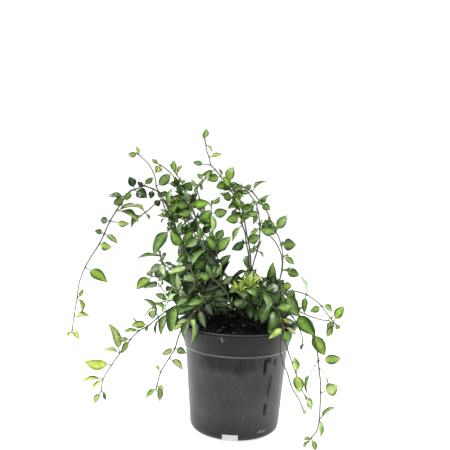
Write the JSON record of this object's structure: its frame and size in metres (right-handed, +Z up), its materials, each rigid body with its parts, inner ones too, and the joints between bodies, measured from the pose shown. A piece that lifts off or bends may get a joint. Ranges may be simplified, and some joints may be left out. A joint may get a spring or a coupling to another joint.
{
  "type": "potted periwinkle plant",
  "caption": "Bushy trailing periwinkle with glossy opposite leaves on thin arching stems, in a dark round nursery pot filled with soil.",
  "frame": {"origin": "centre of the pot's underside, on the surface that it stands on", "axes": "+Z up along the pot's axis, the pictured front faces -Y, +X to the right of the picture"},
  "size_m": [0.2912, 0.1514, 0.3229],
  "materials": {
    "pot": "dark grey moulded plastic, semi-gloss",
    "soil": "black-brown crumbly potting peat, matt",
    "leaves": "green leaves with a waxy sheen and pale midribs, on thin brown-green stems"
  },
  "bodies": {
    "root": {"pot": "pot", "soil": "soil", "vine_back_far_left": "leaves", "vine_back_far_right": "leaves", "vine_back_left_high": "leaves", "vine_back_low_left": "leaves", "vine_back_low_right": "leaves", "vine_back_middle_high": "leaves", "vine_back_right": "leaves", "vine_front_left": "leaves", "vine_front_left_high": "leaves", "vine_front_left_low": "leaves", "vine_front_middle": "leaves", "vine_front_right": "leaves", "vine_front_right_high": "leaves", "vine_inner_left": "leaves", "vine_inner_middle": "leaves", "vine_inner_right": "leaves", "vine_left_arch": "leaves", "vine_left_broad": "leaves", "vine_left_drooper": "leaves", "vine_left_lime": "leaves", "vine_left_pair": "leaves", "vine_left_pale": "leaves", "vine_left_rosette": "leaves", "vine_left_runner": "leaves", "vine_middle_fan": "leaves", "vine_middle_sprig": "leaves", "vine_right_arch": "leaves", "vine_right_bare_drop": "leaves", "vine_right_broad": "leaves", "vine_right_leafy_drop": "leaves", "vine_right_low_arch": "leaves", "vine_right_riser": "leaves", "vine_right_runner": "leaves", "vine_right_second": "leaves", "vine_right_short_drop": "leaves", "vine_right_twin": "leaves", "vine_top_left_inner": "leaves", "vine_top_left_long": "leaves", "vine_top_left_middle": "leaves", "vine_top_side": "leaves", "vine_top_spire": "leaves"}
  },
  "joints": []
}
